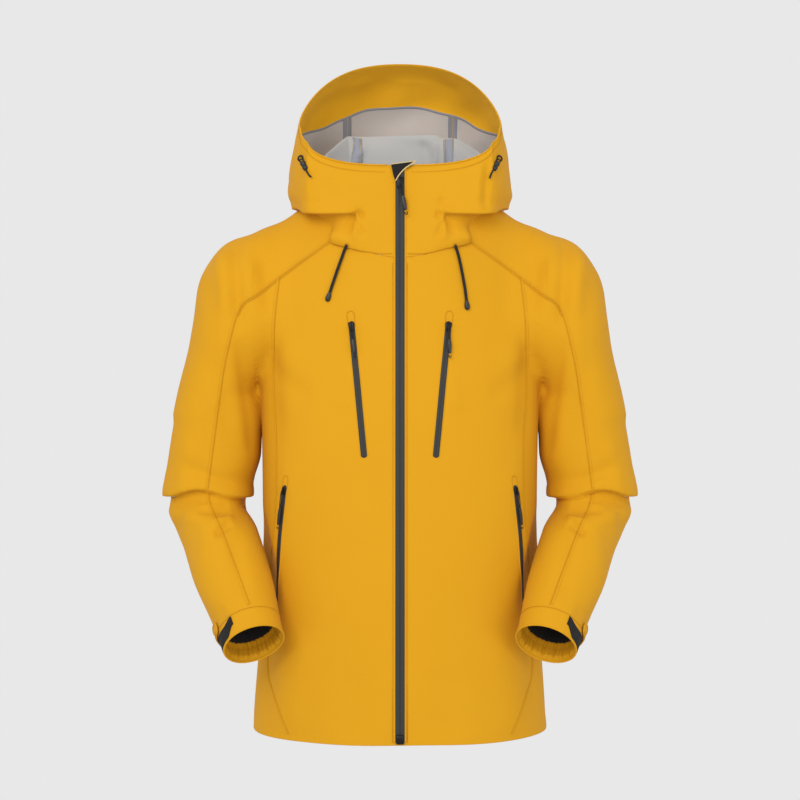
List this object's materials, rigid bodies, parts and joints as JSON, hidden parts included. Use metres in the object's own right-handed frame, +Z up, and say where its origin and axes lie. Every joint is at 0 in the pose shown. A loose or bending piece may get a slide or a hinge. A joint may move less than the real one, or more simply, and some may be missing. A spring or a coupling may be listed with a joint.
{
  "type": "hardshell jacket",
  "caption": "Hooded waterproof hardshell jacket with front zip, chest and hand pocket zips, raglan-seamed sleeves and tabbed cuffs.",
  "frame": {"origin": "middle of the hanger loop at the centre back of the neck", "axes": "+Z up, -Y the way the chest faces, +X towards the wearer's left"},
  "size_m": [0.6544, 0.3303, 0.9246],
  "materials": {
    "shell": "matte waterproof shell cloth, mustard yellow",
    "backer": "pale grey backer cloth",
    "zip_tape": "coated dark grey tape",
    "slider": "black lacquered slider",
    "cord": "black braided cord",
    "plastic": "black moulded plastic",
    "hook": "black hook-and-loop patch"
  },
  "bodies": {
    "torso": {"front_panel_left": "shell", "front_panel_right": "shell", "side_panel_left": "shell", "side_panel_right": "shell", "yoke_left": "shell", "yoke_right": "shell", "collar_front_left": "shell", "collar_front_right": "shell", "armhole_left": "shell", "armhole_right": "shell", "main_zip_tape_left": "zip_tape", "main_zip_tape_right": "zip_tape", "chest_zip_left": "zip_tape", "chest_zip_right": "zip_tape", "chest_pocket_left": "backer", "chest_pocket_right": "backer", "hand_zip_left": "zip_tape", "hand_zip_right": "zip_tape", "hand_pocket_left": "backer", "hand_pocket_right": "backer", "drawcord_left": "cord", "drawcord_right": "cord", "cord_end_left": "plastic", "cord_end_right": "plastic", "back_panel": "shell", "collar_back": "shell", "main_zip_box": "slider", "storm_flap": "backer", "chin_guard": "cord", "hanger_loop": "cord"},
    "hood": {"hood_side_left": "shell", "hood_side_right": "shell", "hood_adjuster_left": "plastic", "hood_adjuster_right": "plastic", "hood_crown": "shell", "hood_facing": "shell"},
    "main_slider": {"main_slider": "slider"},
    "main_pull": {"main_pull": "cord"},
    "upper_sleeve_left": {"sleeve_outer_left": "shell", "sleeve_under_left": "shell"},
    "forearm_left": {"elbow_left": "shell", "forearm_left": "shell", "cuff_left": "shell", "cuff_patch_left": "hook"},
    "cuff_tab_left": {"cuff_tab_left": "shell"},
    "chest_slider_left": {"chest_slider_left": "slider"},
    "chest_pull_left": {"chest_pull_left": "cord"},
    "hand_slider_left": {"hand_slider_left": "slider"},
    "hand_pull_left": {"hand_pull_left": "cord"},
    "upper_sleeve_right": {"sleeve_outer_right": "shell", "sleeve_under_right": "shell"},
    "forearm_right": {"elbow_right": "shell", "forearm_right": "shell", "cuff_right": "shell", "cuff_patch_right": "hook"},
    "cuff_tab_right": {"cuff_tab_right": "shell"},
    "chest_slider_right": {"chest_slider_right": "slider"},
    "chest_pull_right": {"chest_pull_right": "cord"},
    "hand_slider_right": {"hand_slider_right": "slider"},
    "hand_pull_right": {"hand_pull_right": "cord"}
  },
  "joints": [
    {"name": "hood_fold_back", "type": "hinge", "parent": "torso", "child": "hood", "pos_m": [0, 0.03, 0.075], "axis": [-1, 0, 0], "range_deg": [0, 35]},
    {"name": "main_zip_open", "type": "slide", "parent": "torso", "child": "main_slider", "axis": [0, -0.0653, -0.9979], "range_m": [0, 0.722]},
    {"name": "main_pull_swing", "type": "hinge", "parent": "main_slider", "child": "main_pull", "pos_m": [0, -0.17283, 0.04729], "axis": [-1, 0, 0], "range_deg": [0, 95]},
    {"name": "shoulder_left", "type": "hinge", "parent": "torso", "child": "upper_sleeve_left", "pos_m": [0.222, -0.075, -0.045], "axis": [0, -1, 0], "range_deg": [0, 40], "deforming": ["armhole_left"]},
    {"name": "elbow_bend_left", "type": "hinge", "parent": "upper_sleeve_left", "child": "forearm_left", "pos_m": [0.272, -0.075, -0.385], "axis": [-0.8617, 0.5026, -0.0693], "range_deg": [-40, 8], "deforming": ["elbow_left"]},
    {"name": "cuff_tab_peel_left", "type": "hinge", "parent": "forearm_left", "child": "cuff_tab_left", "pos_m": [0.21773, -0.19246, -0.5849], "axis": [0.3056, 0.6233, 0.7198], "range_deg": [0, 60]},
    {"name": "chest_zip_open_left", "type": "slide", "parent": "torso", "child": "chest_slider_left", "axis": [-0.0944, -0.0798, -0.9923], "range_m": [0, 0.157]},
    {"name": "chest_pull_swing_left", "type": "hinge", "parent": "chest_slider_left", "child": "chest_pull_left", "pos_m": [0.06534, -0.18393, -0.14643], "axis": [-1, 0, 0], "range_deg": [0, 110]},
    {"name": "hand_zip_open_left", "type": "slide", "parent": "torso", "child": "hand_slider_left", "axis": [0.0719, 0.0141, -0.9973], "range_m": [0, 0.1]},
    {"name": "hand_pull_swing_left", "type": "hinge", "parent": "hand_slider_left", "child": "hand_pull_left", "pos_m": [0.15918, -0.16356, -0.36472], "axis": [-0.7314, -0.6819, 0], "range_deg": [0, 100]},
    {"name": "shoulder_right", "type": "hinge", "parent": "torso", "child": "upper_sleeve_right", "pos_m": [-0.222, -0.075, -0.045], "axis": [0, 1, 0], "range_deg": [0, 40], "deforming": ["armhole_right"]},
    {"name": "elbow_bend_right", "type": "hinge", "parent": "upper_sleeve_right", "child": "forearm_right", "pos_m": [-0.272, -0.075, -0.385], "axis": [-0.8617, -0.5026, 0.0693], "range_deg": [-40, 8], "deforming": ["elbow_right"]},
    {"name": "cuff_tab_peel_right", "type": "hinge", "parent": "forearm_right", "child": "cuff_tab_right", "pos_m": [-0.21773, -0.19246, -0.5849], "axis": [0.3056, -0.6233, -0.7198], "range_deg": [0, 60]},
    {"name": "chest_zip_open_right", "type": "slide", "parent": "torso", "child": "chest_slider_right", "axis": [0.0944, -0.0798, -0.9923], "range_m": [0, 0.157]},
    {"name": "chest_pull_swing_right", "type": "hinge", "parent": "chest_slider_right", "child": "chest_pull_right", "pos_m": [-0.06534, -0.18393, -0.14643], "axis": [-1, 0, 0], "range_deg": [0, 110]},
    {"name": "hand_zip_open_right", "type": "slide", "parent": "torso", "child": "hand_slider_right", "axis": [-0.0719, 0.0141, -0.9973], "range_m": [0, 0.1]},
    {"name": "hand_pull_swing_right", "type": "hinge", "parent": "hand_slider_right", "child": "hand_pull_right", "pos_m": [-0.15918, -0.16356, -0.36472], "axis": [-0.7314, 0.6819, 0], "range_deg": [0, 100]}
  ]
}
